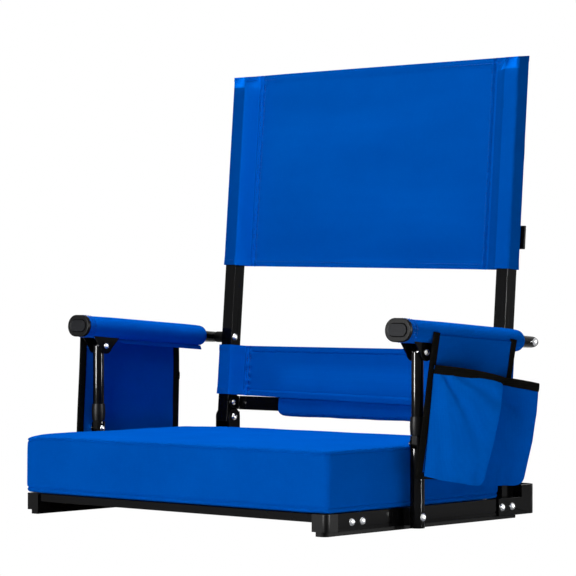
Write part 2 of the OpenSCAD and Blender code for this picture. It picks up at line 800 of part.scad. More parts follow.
// Channel under the bar: two tapered plates with a web against the bar
module arm_clevis(side) {
  top = -bar_h / 2;
  half = clevis_top_w / 2;
  color(steel_black) arm_at(side) translate([0, clevis_s, 0]) difference() {
    union() {
      for (x = [-clevis_out, clevis_in]) {
        translate([0, 0, clevis_n]) rod_x(2 * clevis_r, x, x + clevis_t);
        translate([x, 0, 0]) rotate([90, 0, 90]) linear_extrude(clevis_t)
          polygon([[-half, top], [-half, top - clevis_lip], [-clevis_cheek, clevis_n - clevis_waist],
            [clevis_cheek, clevis_n - clevis_waist], [half, top - clevis_lip], [half, top]]);
      }
      translate([-clevis_out, -half, top - clevis_t])
        cube([2 * clevis_out, 2 * half, clevis_t]);
    }
    translate([0, 0, clevis_n]) rod_x(arm_bolt_d + 2 * run_gap, -arm_x, arm_x);
  }
}

module clevis_bolt(side) {
  color(zinc) arm_at(side) translate([0, clevis_s, clevis_n]) {
    rod_x(arm_bolt_d, -clevis_out, clevis_out);
    for (end = [0, 1]) mirror([end, 0, 0]) translate([clevis_out, 0, 0]) scale(screw_scale) bolt_head();
  }
}

// Side bags, in the armrest's own frame, hung inwards from their seam

module bag_at(side) {
  arm_at(side) translate([bag_x, 0, bag_top]) rotate([0, bag_hang, 0])
    translate([-bag_x, 0, -bag_top]) children();
}

module bag_panel(side) {
  color(cloth_dark) bag_at(side)
    translate([bag_x, bag_front, -bag_drop]) cube([panel_t, bag_len, bag_drop + bag_top]);
}

// Pocket outline at one height: flat against the panel, and deeper towards the rear
function pocket_ring(y0, y1, d, z, n) = [
  for (k = [0:n - 1]) let(a = 180 * k / (n - 1), c = cos(a), s = sin(a), e = 0.45,
      u = (1 - (c < 0 ? -1 : 1) * pow(abs(c), e)) / 2)
    [d * pow(s, e) * (pocket_skew + (1 - pocket_skew) * u), y0 + (y1 - y0) * u, z]
];

// Depth of the pocket's bulge from bottom, 0, to rim, 1
function pocket_bulge(w) = pocket_pinch + (1 - pocket_pinch) * pow(sin(90 * min(1, w * 2.4)), 0.8)
  - 0.12 * max(0, w - 0.45);

// A pocket: a thin cup whose outer skin goes up and inner skin comes down
module pocket(y0, y1, rim) {
  tall = rim - pocket_low;
  function tuck(w) = pocket_tuck * pow(1 - min(1, w * 2), 2);
  rings_out = [for (j = [0:pocket_rings]) let(w = j / pocket_rings)
    pocket_ring(y0 + tuck(w), y1 - tuck(w), pocket_depth * pocket_bulge(w),
      pocket_low + tall * w, pocket_sides)];
  rings_in = [for (j = [pocket_rings:-1:1]) let(w = j / pocket_rings)
    [for (p = pocket_ring(y0 + tuck(w) + pocket_wall, y1 - tuck(w) - pocket_wall,
        pocket_depth * pocket_bulge(w) - 2 * pocket_wall, pocket_low + tall * w, pocket_sides))
      [p[0] + pocket_wall, p[1], p[2]]]];
  translate([bag_x + panel_t + soft_gap, 0, 0]) loft(concat(rings_out, rings_in));
}

module front_pocket(side) {
  color(cloth_blue) bag_at(side) pocket(bag_front + pocket_inset, pocket_split - 1, front_rim);
}

module rear_pocket(side) {
  color(cloth_blue) bag_at(side)
    pocket(pocket_split + 1, bag_front + bag_len + rear_overhang, rear_rim);
}

// Upper arm posts

module arm_post(side) {
  shift = arm_post_y - knuckle_y;
  low = collar_low + arm_post_in;
  color(steel_black) knuckle_at(side) difference() {
    intersection() {
      translate([0, shift, low])
        cylinder(d = arm_post_d, h = link_len);
      union() {
        translate([-arm_post_d, -arm_post_d, 0])
          cube([2 * arm_post_d, 3 * arm_post_d, link_len * cos(link_lean)]);
        translate([0, clevis_y - knuckle_y, link_len * cos(link_lean)])
          rod_x(arm_post_d, -arm_post_d, arm_post_d);
      }
    }
    translate([0, shift, 0]) cylinder(d = arm_post_d - 2 * stub_wall, h = 2 * link_len);
    translate([0, clevis_y - knuckle_y, link_len * cos(link_lean)])
      rod_x(arm_bolt_d + 2 * open_pivot_gap, -arm_post_d, arm_post_d);
  }
}

// Plastic collar on the upper post, with the tongue that turns in the lower post's fork
module knuckle(side) {
  shift = arm_post_y - knuckle_y;
  color(plastic_black) knuckle_at(side) difference() {
    union() {
      translate([0, shift, collar_low]) rotate_extrude()
        polygon(concat([[0, 0]],
          [for (k = [0:8]) [collar_end_r + (collar_r - collar_end_r) * sin(22.5 * k), collar_h * k / 8]],
          [[0, collar_h]]));
      translate([-tongue_w / 2, -tongue_r, 0]) cube([tongue_w, 2 * tongue_r, collar_low + 1]);
      rod_x(2 * tongue_r, -tongue_w / 2, tongue_w / 2);
    }
    translate([0, shift, collar_low + arm_post_in]) cylinder(d = arm_post_d, h = collar_h);
    rod_x(arm_bolt_d + 2 * run_gap, -tongue_w, tongue_w);
  }
}

rail(-1);  // rail_left
rail(1);  // rail_right
foot_strip(-1);  // foot_strip_left
foot_strip(1);  // foot_strip_right
corner_cap(-1);  // corner_cap_left
corner_cap(1);  // corner_cap_right
crossbar(front_bar_y);  // front_crossbar
crossbar(rear_bar_y);  // rear_crossbar
rear_corner(-1);  // rear_corner_left
rear_corner(1);  // rear_corner_right
hinge_bracket(-1);  // hinge_bracket_left
hinge_bracket(1);  // hinge_bracket_right
seat_board();
seat_cushion();
arm_stub(-1);  // arm_stub_left
arm_stub(1);  // arm_stub_right
stub_spacers();
frame_bolts();
frame_nuts();
board_screws();
back_pivot_bolts();
knuckle_screws();
back_post(-1);  // back_post_left
back_post(1);  // back_post_right
post_plugs();
back_panel();
lumbar_strip();
back_crossbar();
crossbar_bolts();
grip_sleeve();
carry_strap(-1);  // carry_strap_left
carry_strap(1);  // carry_strap_right
strap_sliders();
armrest_bolts();
armrest_spacers();
arm_bar(-1);  // arm_bar_left
arm_bar(1);  // arm_bar_right
arm_pad(-1);  // arm_pad_left
arm_pad(1);  // arm_pad_right
arm_cap(-1);  // arm_cap_left
arm_cap(1);  // arm_cap_right
arm_plug(-1);  // arm_plug_left
arm_plug(1);  // arm_plug_right
arm_clevis(-1);  // arm_clevis_left
arm_clevis(1);  // arm_clevis_right
clevis_bolt(-1);  // clevis_bolt_left
clevis_bolt(1);  // clevis_bolt_right
bag_panel(-1);  // bag_panel_left
bag_panel(1);  // bag_panel_right
front_pocket(-1);  // front_pocket_left
front_pocket(1);  // front_pocket_right
rear_pocket(-1);  // rear_pocket_left
rear_pocket(1);  // rear_pocket_right
arm_post(-1);  // arm_post_left
arm_post(1);  // arm_post_right
knuckle(-1);  // knuckle_left
knuckle(1);  // knuckle_right
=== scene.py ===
import json
import math

import bmesh
import bpy
import numpy as np
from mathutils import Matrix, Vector, noise


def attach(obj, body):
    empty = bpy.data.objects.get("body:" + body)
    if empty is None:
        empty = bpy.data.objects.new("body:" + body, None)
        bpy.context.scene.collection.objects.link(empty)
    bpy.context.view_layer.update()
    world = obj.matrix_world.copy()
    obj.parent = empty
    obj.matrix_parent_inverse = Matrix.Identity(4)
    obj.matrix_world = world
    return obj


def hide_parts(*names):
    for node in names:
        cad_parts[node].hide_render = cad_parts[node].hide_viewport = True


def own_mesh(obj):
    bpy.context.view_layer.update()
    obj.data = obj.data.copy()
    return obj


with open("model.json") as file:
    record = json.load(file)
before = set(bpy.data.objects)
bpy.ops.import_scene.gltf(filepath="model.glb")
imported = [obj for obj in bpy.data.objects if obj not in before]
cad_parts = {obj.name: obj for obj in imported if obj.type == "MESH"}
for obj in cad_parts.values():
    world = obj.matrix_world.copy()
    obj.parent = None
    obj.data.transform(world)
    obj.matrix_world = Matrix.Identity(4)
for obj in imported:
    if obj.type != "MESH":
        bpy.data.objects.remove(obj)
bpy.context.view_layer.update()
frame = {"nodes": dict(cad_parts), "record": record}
nodes = frame["nodes"]

# Lengths are in millimetres until a mesh is made; the object stands in metres.
MM = 0.001

# Camera: eye height, long lens, looking level from the front right
camera_data = bpy.data.cameras.new("photo_camera")
camera = bpy.data.objects.new("photo_camera", camera_data)
bpy.context.scene.collection.objects.link(camera)
camera.location = (2.5039, -2.7632, 0.3123)
camera.rotation_euler = (math.radians(90), 0, math.radians(42))
camera_data.sensor_width = 36
camera_data.lens = 169.14
camera_data.clip_start, camera_data.clip_end = 0.05, 50
bpy.context.scene.camera = camera


# ---------------------------------------------------------------- finishes

def linear(hex_colour):
    """sRGB hex as linear RGBA."""
    channels = [int(hex_colour[k:k + 2], 16) / 255 for k in (1, 3, 5)]
    return [c / 12.92 if c <= 0.04045 else ((c + 0.055) / 1.055) ** 2.4 for c in channels] + [1]


def add(tree, kind, settings=(), links=()):
    """A shader node with its attributes or socket values set, and its inputs linked."""
    made = tree.nodes.new(kind)
    for name, value in dict(settings).items():
        if isinstance(name, str) and hasattr(made, name):
            setattr(made, name, value)
        else:
            made.inputs[name].default_value = value
    for name, source in dict(links).items():
        tree.links.new(made.inputs[name], source)
    return made


WEAVE_WANDER = 1.6         # how far the threads wander from straight, in millimetres
RIDGE_SCALE = 1000 / 6.283  # scale of a wave texture whose ridges are about 1 mm wide and 2 mm apart


def finish_of(name, hexes, roughness, grain_mm, bump, shell=()):
    """Hard finish: two tones mixed in soft clouds, and a grain that turns roughness and bump.

    bump is (strength, height in mm); shell holds values for the shader's own sockets.
    """
    material = bpy.data.materials.new(name)
    material.use_nodes = True
    tree = material.node_tree
    surface = tree.nodes["Principled BSDF"]
    place = add(tree, "ShaderNodeTexCoord").outputs["Object"]
    grain = add(tree, "ShaderNodeTexNoise", {"Scale": 1000 / grain_mm, "Detail": 3.0}, {"Vector": place})
    cloud = add(tree, "ShaderNodeTexNoise", {"Scale": 14.0, "Detail": 4.0}, {"Vector": place})
    tone = add(tree, "ShaderNodeMapRange", {"From Min": 0.35, "From Max": 0.62}, {"Value": cloud.outputs["Fac"]})
    colour = add(tree, "ShaderNodeMix", {"data_type": "RGBA", 6: linear(hexes[0]), 7: linear(hexes[1])},
                 {0: tone.outputs["Result"]})
    rough = add(tree, "ShaderNodeMapRange", {"To Min": roughness[0], "To Max": roughness[1]},
                {"Value": grain.outputs["Fac"]})
    relief = add(tree, "ShaderNodeBump", {"Strength": bump[0], "Distance": bump[1] * MM},
                 {"Height": grain.outputs["Fac"]})
    tree.links.new(surface.inputs["Base Color"], colour.outputs[2])
    tree.links.new(surface.inputs["Roughness"], rough.outputs["Result"])
    tree.links.new(surface.inputs["Normal"], relief.outputs["Normal"])
    for socket, value in dict(shell).items():
        surface.inputs[socket].default_value = value
    return material


def cloth_of(name, hexes, thread_mm, roughness, bump_mm, crease_mm=0.0, sheen=0.12, ribs=False,
             sheen_tint="#0a86ff"):
    """Woven cloth: threads along all three axes, so that the weave shows on every face, and soft creases.

    With ribs only one set of threads is drawn, across the height, as on ribbon and webbing.
    """
    material = bpy.data.materials.new(name)
    material.use_nodes = True
    tree = material.node_tree
    surface = tree.nodes["Principled BSDF"]
    place = add(tree, "ShaderNodeTexCoord").outputs["Object"]
    wobble = add(tree, "ShaderNodeTexNoise", {"Scale": 30.0, "Detail": 2.0}, {"Vector": place})
    bent = add(tree, "ShaderNodeVectorMath", {"operation": "MULTIPLY_ADD", 1: (WEAVE_WANDER * MM,) * 3},
               {0: wobble.outputs["Color"], 2: place})
    total = None
    axes = "Z" if ribs else "XYZ"
    for axis in axes:
        threads = add(tree, "ShaderNodeTexWave",
                      {"bands_direction": axis, "Scale": RIDGE_SCALE / thread_mm, "Distortion": 0.4,
                       "Detail": 1.0, "Detail Scale": 3.0}, {"Vector": bent.outputs["Vector"]})
        if total is None:
            total = threads.outputs["Fac"]
        else:
            both = add(tree, "ShaderNodeMath", {"operation": "ADD"}, {0: total, 1: threads.outputs["Fac"]})
            total = both.outputs["Value"]
    weave = add(tree, "ShaderNodeMapRange", {"From Min": 0.0, "From Max": float(len(axes))}, {"Value": total})
    cloud = add(tree, "ShaderNodeTexNoise", {"Scale": 9.0, "Detail": 5.0, "Roughness": 0.6}, {"Vector": place})
    slub = add(tree, "ShaderNodeTexNoise", {"Scale": 260.0, "Detail": 2.0}, {"Vector": place})
    tone = add(tree, "ShaderNodeMath", {"operation": "MULTIPLY_ADD", 1: 0.35},
               {0: slub.outputs["Fac"], 2: cloud.outputs["Fac"]})
    tone = add(tree, "ShaderNodeMath", {"operation": "MULTIPLY_ADD", 1: 0.25},
               {0: weave.outputs["Result"], 2: tone.outputs["Value"]})
    share = add(tree, "ShaderNodeMapRange", {"From Min": 0.4, "From Max": 1.2}, {"Value": tone.outputs["Value"]})
    colour = add(tree, "ShaderNodeMix", {"data_type": "RGBA", 6: linear(hexes[0]), 7: linear(hexes[1])},
                 {0: share.outputs["Result"]})
    fine = add(tree, "ShaderNodeBump", {"Strength": 0.5, "Distance": bump_mm * MM},
               {"Height": weave.outputs["Result"]})
    last = fine
    if crease_mm:
        folds = add(tree, "ShaderNodeTexNoise", {"Scale": 16.0, "Detail": 3.0, "Distortion": 0.6},
                    {"Vector": place})
        last = add(tree, "ShaderNodeBump", {"Strength": 0.35, "Distance": crease_mm * MM},
                   {"Height": folds.outputs["Fac"], "Normal": fine.outputs["Normal"]})
    tree.links.new(surface.inputs["Base Color"], colour.outputs[2])
    tree.links.new(surface.inputs["Normal"], last.outputs["Normal"])
    surface.inputs["Roughness"].default_value = roughness
    surface.inputs["IOR"].default_value = 1.5
    surface.inputs["Specular IOR Level"].default_value = 0.0
    surface.inputs["Sheen Weight"].default_value = sheen
    surface.inputs["Sheen Roughness"].default_value = 0.45
    surface.inputs["Sheen Tint"].default_value = linear(sheen_tint)
    return material


# Polyester oxford cloth, piece-dyed: matt weave with a faint sheen.
# Its threads are drawn about 1.2 mm wide and as far apart, coarser than the real 0.5 mm, so that they show.
oxford = cloth_of("polyester_oxford_cloth", ("#004aa8", "#0056ba"), 1.2, 0.8, 0.12, crease_mm=1.6)
# The same cloth stretched tight between the posts, so without creases of its own.
oxford_taut = cloth_of("taut_oxford_cloth", ("#004ca8", "#0055b4"), 1.2, 0.8, 0.1)
# The taut cloth again where it turns round the posts, in a darker copy as painted shade and a lighter copy as
# painted light.
oxford_painted_shade = cloth_of("oxford_cloth_across_the_grain", ("#003f8e", "#004698"), 1.2, 0.8, 0.1)
oxford_painted_light = cloth_of("oxford_cloth_along_the_grain", ("#005cc4", "#0062cc"), 1.2, 0.8, 0.1)
# The same cloth in a lighter copy as painted light on the front pockets, creased where it hangs full.
painted_light_pocket_oxford = cloth_of("pocket_oxford_cloth", ("#0056bc", "#0064cc"), 1.2, 0.8, 0.12, crease_mm=2.0)
# Polyester grosgrain binding, folded over the raw edges: cross ribs, dull black.
binding = cloth_of("grosgrain_binding", ("#0c0c0b", "#1b1a18"), 1.2, 0.85, 0.3, sheen=0.03, ribs=True,
                   sheen_tint="#303030")
# Polypropylene webbing of the carry straps: coarser ribs.
webbing = cloth_of("polypropylene_webbing", ("#0a0a0a", "#181818"), 2.0, 0.7, 0.4, sheen=0.03, ribs=True,
                   sheen_tint="#303030")
# Bonded polyester sewing thread, a shade deeper than the cloth.
thread_blue = finish_of("sewing_thread", ("#003c8c", "#0052b0"), (0.6, 0.8), 0.6, (0.3, 0.1),
                        {"Specular IOR Level": 0.1})
# Powder-coated steel tube: smooth black with fine orange peel, and deep, because little light comes off its face.
powder_coat = finish_of("powder_coated_steel", ("#040405", "#080809"), (0.1, 0.16), 1.6, (0.1, 0.01),
                        {"IOR": 1.5, "Specular IOR Level": 0.06})
# Injection-moulded polypropylene: spark-eroded grain, duller than the tubes.
moulded_black = finish_of("moulded_polypropylene", ("#070707", "#0e0e0f"), (0.34, 0.5), 0.9, (0.25, 0.06),
                          {"IOR": 1.49, "Specular IOR Level": 0.03})
# Grey polyethylene tube plug.
moulded_grey = finish_of("grey_polyethylene", ("#1b1c1f", "#232427"), (0.4, 0.55), 0.9, (0.3, 0.08),
                         {"IOR": 1.51, "Specular IOR Level": 0.02})
# Bright zinc plate over rolled heads: light metal, faintly clouded.
zinc_plate = finish_of("bright_zinc_plate", ("#a2a3a5", "#cfd0d0"), (0.16, 0.3), 0.8, (0.15, 0.05),
                       {"Metallic": 1.0})
# Birch plywood, sanded and unfinished.
birch = finish_of("birch_plywood", ("#b98f5c", "#d8b583"), (0.55, 0.75), 1.2, (0.3, 0.1))


# ---------------------------------------------------------------- meshes

def joined(parts):
    """Several (points, faces) pairs as one."""
    points, faces = [], []
    for p, f in parts:
        start = sum(len(q) for q in points)
        points.append(np.asarray(p, float).reshape(-1, 3))
        faces += [[start + i for i in face] for face in f]
    return np.concatenate(points), faces


def make(name, parts, material, body, stands_for=(), sharp=40, rounds=0):
    """A piece of the object from closed skins in millimetres, riding on a body."""
    points, faces = joined(parts)
    mesh = bpy.data.meshes.new(name)
    mesh.from_pydata([tuple(p) for p in points * MM], [], faces)
    shape = bmesh.new()
    shape.from_mesh(mesh)
    bmesh.ops.recalc_face_normals(shape, faces=shape.faces)
    shape.to_mesh(mesh)
    shape.free()
    mesh.shade_smooth()
    if sharp:
        mesh.set_sharp_from_angle(angle=math.radians(sharp))
    mesh.materials.append(material)
    piece = bpy.data.objects.new(name, mesh)
    bpy.context.scene.collection.objects.link(piece)
    if rounds:
        level = piece.modifiers.new("rounded", "SUBSURF")
        level.levels = level.render_levels = rounds
    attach(piece, body)
    if stands_for:
        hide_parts(*stands_for)
    return piece


def skin(rings):
    """Quads over closed rings of points (rings, points round, 3), shut at both ends with fans."""
    m, n = rings.shape[:2]
    points = np.concatenate([rings.reshape(-1, 3), [rings[0].mean(0), rings[-1].mean(0)]])
    faces = [[j * n + i, j * n + (i + 1) % n, (j + 1) * n + (i + 1) % n, (j + 1) * n + i]
             for j in range(m - 1) for i in range(n)]
    for i in range(n):
        faces.append([m * n, (i + 1) % n, i])
        faces.append([m * n + 1, (m - 1) * n + i, (m - 1) * n + (i + 1) % n])
    return points, faces


def normals_of(grid, wrap=False):
    """Unit normals of a grid of points, by differences along both directions."""
    if wrap:
        along = np.roll(grid, -1, 1) - np.roll(grid, 1, 1)
    else:
        along = np.gradient(grid, axis=1)
    across = np.gradient(grid, axis=0)
    normal = np.cross(across, along)
    return normal / np.maximum(np.linalg.norm(normal, axis=-1, keepdims=True), 1e-9)


def cloth(grid, thickness, wrap=False):
    """A closed sheet of cloth of that thickness round a grid of points; wrap joins its side edges."""
    normal = normals_of(grid, wrap) * thickness / 2
    m, n = grid.shape[:2]
    points = np.concatenate([(grid + normal).reshape(-1, 3), (grid - normal).reshape(-1, 3)])
    back = m * n
    faces = []
    for j in range(m - 1):
        for i in range(n if wrap else n - 1):
            k = (i + 1) % n
            a, b, c, d = j * n + i, j * n + k, (j + 1) * n + k, (j + 1) * n + i
            faces += [[a, b, c, d], [back + d, back + c, back + b, back + a]]
    for i in range(n if wrap else n - 1):
        k = (i + 1) % n
        faces.append([i, back + i, back + k, k])
        faces.append([(m - 1) * n + k, back + (m - 1) * n + k, back + (m - 1) * n + i, (m - 1) * n + i])
    if not wrap:
        for j in range(m - 1):
            faces.append([(j + 1) * n, back + (j + 1) * n, back + j * n, j * n])
            faces.append([j * n + n - 1, back + j * n + n - 1, back + (j + 1) * n + n - 1, (j + 1) * n + n - 1])
    return points, faces


def tape(path, across, width, thick):
    """A flat tape with rounded edges swept along a path; across gives its width direction at each point."""
    path, across = np.asarray(path, float), np.asarray(across, float)
    if across.ndim == 1:
        across = np.tile(across, (len(path), 1))
    along = np.gradient(path, axis=0)
    along /= np.linalg.norm(along, axis=1, keepdims=True)
    across = across - (across * along).sum(1, keepdims=True) * along
    across /= np.linalg.norm(across, axis=1, keepdims=True)
    up = np.cross(along, across)
    w, h = width / 2, thick / 2
    outline = [(w, 0), (w - 0.3 * h, h * 0.7), (w - h, h), (0, h * 1.08), (-w + h, h), (-w + 0.3 * h, h * 0.7)]
    outline += [(-a, -b) for a, b in outline]
    return skin(np.stack([path + a * across + b * up for a, b in outline], 1))


THREAD = 0.7          # thickness of the sewing thread
STANDS_PROUD = 0.15   # how far the middle of a stitch stands off the cloth


def stitches(path, out, pitch=4.2, length=3.0):
    """Short beads of thread laid end to end along a path; out points away from the cloth."""
    path, out = np.asarray(path, float), np.asarray(out, float)
    if out.ndim == 1:
        out = np.tile(out, (len(path), 1))
    step = np.r_[0, np.cumsum(np.linalg.norm(np.diff(path, axis=0), axis=1))]
    beads = []
    for k in range(int(step[-1] / pitch)):
        s = pitch * (k + 0.5)
        start, end = [np.array([np.interp(v, step, path[:, a]) for a in range(3)])
                      for v in (s - length / 2, s + length / 2)]
        lift = np.array([np.interp(s, step, out[:, a]) for a in range(3)])
        lift /= np.linalg.norm(lift)
        side = np.cross(end - start, lift)
        side /= max(np.linalg.norm(side), 1e-9)
        rings = []
        for f, size in ((0.0, 0.35), (0.25, 1.0), (0.75, 1.0), (1.0, 0.35)):
            centre = start * (1 - f) + end * f + lift * (STANDS_PROUD * math.sin(math.pi * f))
            rings.append([centre + THREAD / 2 * size * (math.cos(a) * side + math.sin(a) * lift)
                          for a in np.radians([0, 60, 120, 180, 240, 300])])
        beads.append(skin(np.array(rings)))
    return joined(beads)


def rumple(points, size, height, seed):
    """How far soft cloth stands out or in at each point, in millimetres, by smooth noise."""
    flat = np.asarray(points, float).reshape(-1, 3)
    found = [noise.noise(Vector((x / size + seed, y / size - seed, z / size))) for x, y, z in flat]
    return height * np.array(found).reshape(np.asarray(points).shape[:-1])


def ease(x):
    """Smooth step from 0 to 1."""
    x = np.clip(x, 0, 1)
    return x * x * (3 - 2 * x)


# ---------------------------------------------------------------- places

SIDES = ((-1, "left"), (1, "right"))
CORNERS = ((1, 1), (-1, 1), (-1, -1), (1, -1))   # of a rectangle, in order round it
# Where the CAD has its moving parts at rest; y and z from the chair's middle and the ground
HINGE_Y, HINGE_Z = 166.089, 121.5                # the back's hinge
RECLINE = 4.7                                    # lean of the posts, in degrees
POST_AHEAD = 2.4                                 # from the hinge forward to the posts' middle line
PIVOT_Y, PIVOT_Z = 170.974, 239.499              # the armrests' rear pivot
ARM_PITCH = 4.03                                 # rise of the armrests towards the front, in degrees
ARM_X = 295                                      # middle of an armrest
SEAM_X, SEAM_Z = 21.3, -2                        # the seam that a bag hangs from, in its armrest's frame


def tilted(points, y, z, degrees):
    """Points of a leaning frame whose origin is at that y and z."""
    a = math.radians(degrees)
    p = np.asarray(points, float)
    return np.stack([p[..., 0], y + p[..., 1] * math.cos(a) + p[..., 2] * math.sin(a),
                     z - p[..., 1] * math.sin(a) + p[..., 2] * math.cos(a)], -1)


def on_back(points):
    """From (across, behind the posts' middle line, up the posts) to the chair."""
    p = np.array(points, float)
    p[..., 1] -= POST_AHEAD
    return tilted(p, HINGE_Y, HINGE_Z, RECLINE)


def on_arm(points, side):
    """From (outwards, back along the armrest, up) at the armrest's rear pivot to the chair."""
    p = tilted(points, PIVOT_Y, PIVOT_Z, ARM_PITCH)
    p[..., 0] = side * (ARM_X + p[..., 0])
    return p


def on_bag(points, side, swing):
    """The armrest's frame, with what hangs below the bag's seam swung inwards by that many degrees."""
    p = np.array(points, float)
    a = math.radians(swing)
    x, z = p[..., 0] - SEAM_X, p[..., 2] - SEAM_Z
    p[..., 0] = SEAM_X + x * math.cos(a) + z * math.sin(a)
    p[..., 2] = SEAM_Z - x * math.sin(a) + z * math.cos(a)
    return on_arm(p, side)


# ---------------------------------------------------------------- seat cushion

CUSHION_LOW = 28.8
CUSHION_HEIGHT = 80
CUSHION_MIDDLE = -42.23          # from the chair's middle forward to the cushion's


def cushion_outline(hw, hd, r, draw):
    """Rectangle with round corners and sides that draw in between them, 4 x (10 + 22) points."""
    points = []
    for c, (sx, sy) in enumerate(CORNERS):
        for k in range(10):
            a = math.radians(90 * c + 90 * k / 9)
            points.append((sx * (hw - r) + r * math.cos(a), sy * (hd - r) + r * math.sin(a)))
        for k in range(1, 23):
            u = 1 - 2 * k / 23
            pull = draw * (1 - u ** 4)
            points.append(((u * (hw - r), hd - pull), (-hw + pull, u * (hd - r)),
                           (-u * (hw - r), -hd + pull), (hw - pull, -u * (hd - r)))[c])
    return np.array(points)


def build_cushion():
    """Box cushion in its sewn cover, with a crowned top and settled corners."""
    # Inset and height up the side: a seam groove 8 mm above the base, and another 5 mm below the top edge
    side = [(60, 0.2), (20, 0.0), (8, 0.2), (3, 1.0), (0.8, 2.4), (0.1, 4.6), (0.2, 6.6), (1.7, 7.7),
            (0.0, 8.8), (-0.4, 10.8), (-0.5, 17), (-0.5, 28), (-0.5, 40), (-0.5, 52), (-0.4, 62), (-0.2, 68),
            (0.0, 72.4), (0.2, 74.0), (1.5, 74.9), (0.3, 75.9), (0.1, 77.4), (0.7, 78.8), (2.0, 79.6),
            (4.6, 80.0), (10, 80.2)]
    rings = []
    for inset, z in side:
        r = max(3.5, 6.5 - inset * 0.3)
        drawn_in = 1.2 * math.sin(math.pi * min(1, z / CUSHION_HEIGHT))
        outline = cushion_outline(278.2 - inset, 175.4 - inset, r, drawn_in)
        rings.append(np.c_[outline, np.full(len(outline), CUSHION_LOW + z)])
    for f in (0.93, 0.86, 0.76, 0.64, 0.5, 0.34, 0.17, 0.05):
        outline = cushion_outline(268 * f, 165 * f, 5 * f + 1, 0)
        crown = 80.3 + 2.6 * (1 - f * f)
        rings.append(np.c_[outline, np.full(len(outline), CUSHION_LOW + crown)])
    grid = np.array(rings)
    # The two top corners on the left settle a little
    near = np.clip((-grid[..., 0] - 235) / 43, 0, 1) ** 2 * np.clip((np.abs(grid[..., 1]) - 135) / 40, 0, 1) ** 2
    grid[..., 2] -= 4.5 * near * ease((grid[..., 2] - CUSHION_LOW - 55) / 25)
    grid[..., 1] += CUSHION_MIDDLE
    wave = rumple(grid, 95, 1.0, 3.1) + rumple(grid, 34, 0.35, 7.7)
    # Short puckers that fan out from the seams and gather at the corners
    corner = np.exp(-((np.abs(grid[..., 0]) - 275) ** 2 + (np.abs(grid[..., 1] + 42.2) - 174) ** 2) / 60 ** 2)
    pucker = rumple(grid * [1, 1, 0.25], 15, 0.7, 5.2) * corner
    out = normals_of(grid, True)
    flip = np.sign((out * (grid - grid.mean((0, 1)))).sum(-1).mean())
    grid = grid + out * flip * (wave + pucker)[..., None] * ease((grid[..., 2:] - CUSHION_LOW) / 10)
    # Flat below, where it lies on the board, and nowhere higher than the crown
    grid[..., 2] = np.clip(grid[..., 2], CUSHION_LOW, 111.9)
    return skin(grid)


cushion = make("seat_cushion_cover", [build_cushion()], oxford, "base", ["seat_cushion"],
               sharp=0, rounds=1)


# ---------------------------------------------------------------- sling back

POST = 253.8        # middle of a post
WRAP = 11.7         # from a post's middle line to the middle of the cloth round it
POST_END = 492      # height of the posts' ends, above which the sleeves stand empty
HEM = 7.2           # from a cut edge to the stitching of its hem
# Each span: lower and upper edge, how far inside the posts' cloth its left and right seams lie, and how far its
# lower right corner hangs and its upper right corner rises
PANEL = (225, 510, (12, 30), 8, 2)
LUMBAR = (33, 106, (12, 22), 9, 0)


def across_share(x):
    """0 at the left post, 1 at the right one."""
    return np.clip((np.asarray(x, float) + POST) / (2 * POST), 0, 1)


def hang(x, t, low, high, drop, rise):
    """Cloth cut a little out of square: to the right its lower edge hangs lower and its upper edge is higher."""
    share, up = across_share(x), (t - low) / (high - low)
    return t - drop * share * (1 - ease(up * 2.5)) + rise * share * ease(up * 3 - 2)


def sleeve(side, span, post_end, seed):
    """Cloth round one post: square on three sides, then straight from the post's front corner to the seam."""
    low, high, seams, drop, rise = span
    seam = seams[side > 0]
    if post_end < high:
        heights = np.r_[low, low + 1, np.linspace(low + 3, post_end - 2, 26),
                        np.linspace(post_end, high - 1, 10), high]
    else:
        heights = np.r_[low, low + 1, np.linspace(low + 3, high - 3, 18), high - 1, high]
    q, r = WRAP, 1.9
    # Corners in order: outer rear, outer front, inner front, seam; x counts outwards
    turns = [((q, q), 90, 0), ((q, -q), 0, -90), ((-q, -q), -90, -160), ((-q - seam, q), 200, 90)]
    outline, front = [], []
    for k, ((cx, cy), a0, a1) in enumerate(turns):
        for a in np.radians(np.linspace(a0, a1, 6)):
            mx, my = cx - math.copysign(r, cx), cy - math.copysign(r, cy)
            outline.append((mx + r * math.cos(a), my + r * math.sin(a)))
            front.append(0.0)
        # How much the side between two corners goes slack: the front fully, the outer side a little
        slack = (0.3, 1.0, 1.0, 0.0)[k]
        next_x, next_y = turns[(k + 1) % 4][0]
        for f in np.linspace(0.12, 0.88, 9):
            outline.append((cx + (next_x - cx) * f, cy + (next_y - cy) * f))
            front.append(slack * math.sin(math.pi * f))
    outline, front = np.array(outline), np.array(front)
    rings = []
    for t in heights:
        # Above the post's end the sleeve is empty and falls in
        loose = 0.0
        if post_end < high:
            loose = float(np.clip((t - post_end + 1) / (high - post_end), 0, 1)) ** 0.9
        x = outline[:, 0] - 1.2 * loose * front * (outline[:, 0] > 0)
        y = outline[:, 1] + 10.5 * loose * front
        # A hem is a double layer, so it stands out a little
        hemmed = min(t - low, high - t) < 8.5
        bulge = 1 + 0.35 * hemmed / q
        rings.append(np.c_[side * (POST + x * bulge), y * bulge, np.full(len(x), t) - 0.18 * (q - y) * loose])
    grid = np.array(rings)
    soft = rumple(grid * [1, 1, 0.5], 26, 0.7, seed)
    grid[..., 1] -= np.abs(soft) * (front[None, :] > 0.2)
    grid[..., 2] = hang(grid[..., 0], grid[..., 2], low, high, drop, rise)
    return cloth(on_back(grid), 1.6, wrap=True)


